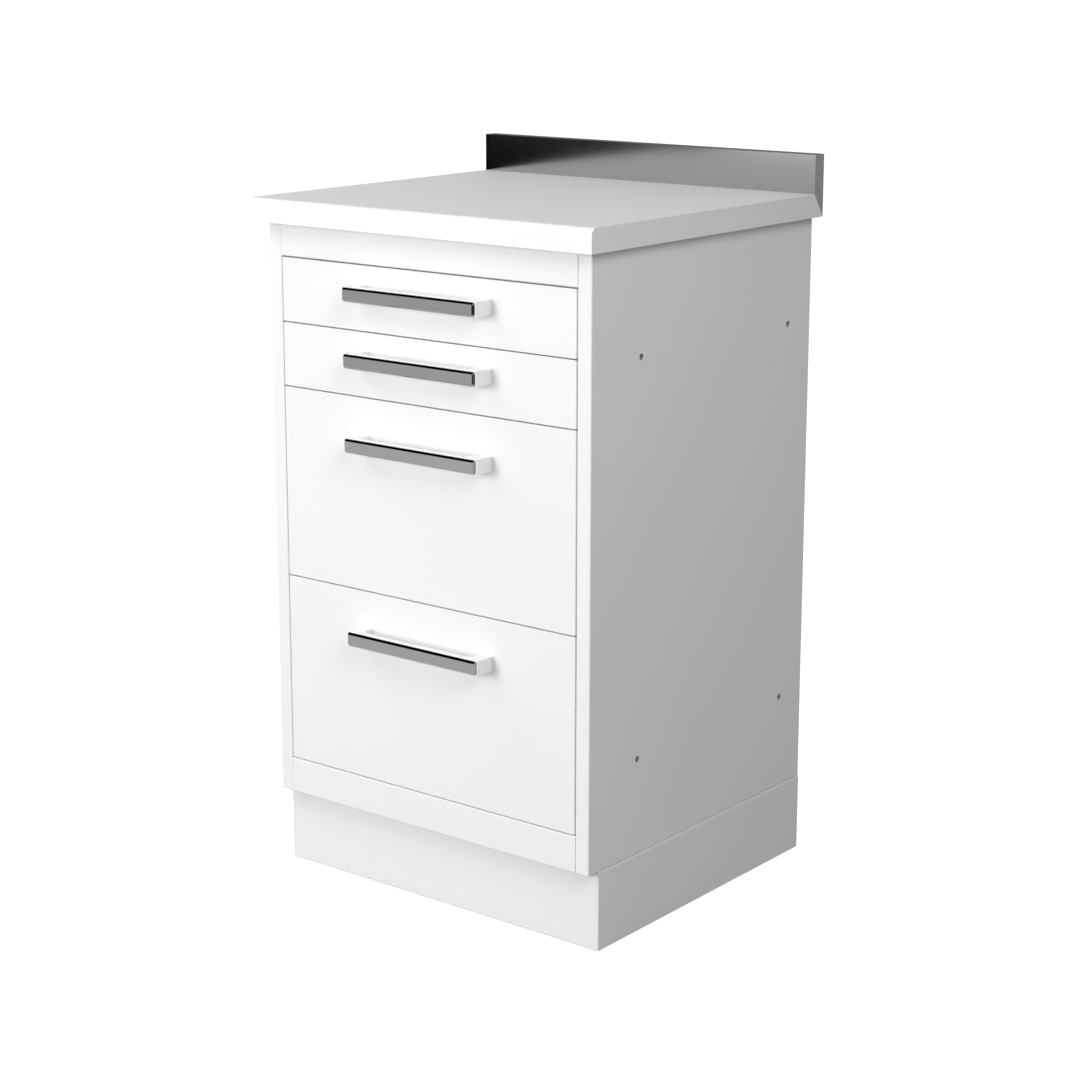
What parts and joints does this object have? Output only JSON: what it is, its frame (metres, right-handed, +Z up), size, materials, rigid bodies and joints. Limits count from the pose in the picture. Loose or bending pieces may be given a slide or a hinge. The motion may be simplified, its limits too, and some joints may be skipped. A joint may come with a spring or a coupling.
{
  "type": "dental drawer cabinet",
  "caption": "Floor-standing dental cabinet of folded sheet steel: worktop with metal upstand, flush drawers with bow handles on telescopic runners, recessed plinth.",
  "frame": {"origin": "centre of the footprint of the whole cabinet, handles included, at floor level", "axes": "+X to the right along the front, +Y from the front to the back, +Z up"},
  "size_m": [0.529, 0.4908, 0.919],
  "materials": {
    "laminate": "white laminate on board, fine satin",
    "board": "raw board",
    "stainless_facing": "satin stainless steel",
    "handle_white": "white, satin gloss",
    "handle_strip": "dark bright metal",
    "zinc_plated": "bright zinc plated",
    "passivated_steel": "yellow passivated steel",
    "foot_black": "black moulded plastic",
    "plinth_white": "white powder coat",
    "drawer_inner_white": "white powder coat",
    "front_white": "white powder coat",
    "carcass_white": "white powder coat"
  },
  "bodies": {
    "cabinet": {"back_panel": "carcass_white", "back_panel_rivets": "zinc_plated", "bottom_panel": "carcass_white", "bottom_rail": "carcass_white", "drawer_1_runner_outer": "zinc_plated", "drawer_2_runner_outer": "zinc_plated", "drawer_3_runner_outer": "zinc_plated", "drawer_4_runner_outer": "zinc_plated", "levelling_feet": "foot_black", "linking_bushes": "passivated_steel", "plinth_corner_brackets": "zinc_plated", "plinth_front": "plinth_white", "plinth_rear": "plinth_white", "plinth_side_left": "plinth_white", "plinth_side_right": "plinth_white", "rear_rail": "carcass_white", "runner_screws": "zinc_plated", "side_panel_left": "carcass_white", "side_panel_right": "carcass_white", "top_rail": "carcass_white", "upright_front_left": "carcass_white", "upright_front_right": "carcass_white", "upright_rear_left": "carcass_white", "upright_rear_right": "carcass_white", "upstand_core": "board", "upstand_facing": "stainless_facing", "worktop": "laminate", "worktop_screws": "zinc_plated"},
    "drawer_1": {"drawer_1_front_liner": "drawer_inner_white", "drawer_1_front_skin": "front_white", "drawer_1_handle": "handle_white", "drawer_1_handle_screws": "zinc_plated", "drawer_1_handle_strip": "handle_strip", "drawer_1_runner_inner": "zinc_plated", "drawer_1_tray": "drawer_inner_white"},
    "runner_1": {"drawer_1_runner_middle": "zinc_plated"},
    "drawer_2": {"drawer_2_front_liner": "drawer_inner_white", "drawer_2_front_skin": "front_white", "drawer_2_handle": "handle_white", "drawer_2_handle_screws": "zinc_plated", "drawer_2_handle_strip": "handle_strip", "drawer_2_runner_inner": "zinc_plated", "drawer_2_tray": "drawer_inner_white"},
    "runner_2": {"drawer_2_runner_middle": "zinc_plated"},
    "drawer_3": {"drawer_3_front_liner": "drawer_inner_white", "drawer_3_front_skin": "front_white", "drawer_3_handle": "handle_white", "drawer_3_handle_screws": "zinc_plated", "drawer_3_handle_strip": "handle_strip", "drawer_3_runner_inner": "zinc_plated", "drawer_3_tray": "drawer_inner_white"},
    "runner_3": {"drawer_3_runner_middle": "zinc_plated"},
    "drawer_4": {"drawer_4_front_liner": "drawer_inner_white", "drawer_4_front_skin": "front_white", "drawer_4_handle": "handle_white", "drawer_4_handle_screws": "zinc_plated", "drawer_4_handle_strip": "handle_strip", "drawer_4_runner_inner": "zinc_plated", "drawer_4_tray": "drawer_inner_white"},
    "runner_4": {"drawer_4_runner_middle": "zinc_plated"}
  },
  "joints": [
    {"name": "drawer_1_slide", "type": "slide", "parent": "cabinet", "child": "drawer_1", "axis": [0, -1, 0], "range_m": [0, 0.4]},
    {"name": "runner_1_slide", "type": "slide", "parent": "cabinet", "child": "runner_1", "axis": [0, -1, 0], "range_m": [0, 0.2]},
    {"name": "drawer_2_slide", "type": "slide", "parent": "cabinet", "child": "drawer_2", "axis": [0, -1, 0], "range_m": [0, 0.4]},
    {"name": "runner_2_slide", "type": "slide", "parent": "cabinet", "child": "runner_2", "axis": [0, -1, 0], "range_m": [0, 0.2]},
    {"name": "drawer_3_slide", "type": "slide", "parent": "cabinet", "child": "drawer_3", "axis": [0, -1, 0], "range_m": [0, 0.4]},
    {"name": "runner_3_slide", "type": "slide", "parent": "cabinet", "child": "runner_3", "axis": [0, -1, 0], "range_m": [0, 0.2]},
    {"name": "drawer_4_slide", "type": "slide", "parent": "cabinet", "child": "drawer_4", "axis": [0, -1, 0], "range_m": [0, 0.4]},
    {"name": "runner_4_slide", "type": "slide", "parent": "cabinet", "child": "runner_4", "axis": [0, -1, 0], "range_m": [0, 0.2]}
  ],
  "couplings": [
    {"joint": "runner_1_slide", "follows": "drawer_1_slide", "ratio": 0.5},
    {"joint": "runner_2_slide", "follows": "drawer_2_slide", "ratio": 0.5},
    {"joint": "runner_3_slide", "follows": "drawer_3_slide", "ratio": 0.5},
    {"joint": "runner_4_slide", "follows": "drawer_4_slide", "ratio": 0.5}
  ]
}
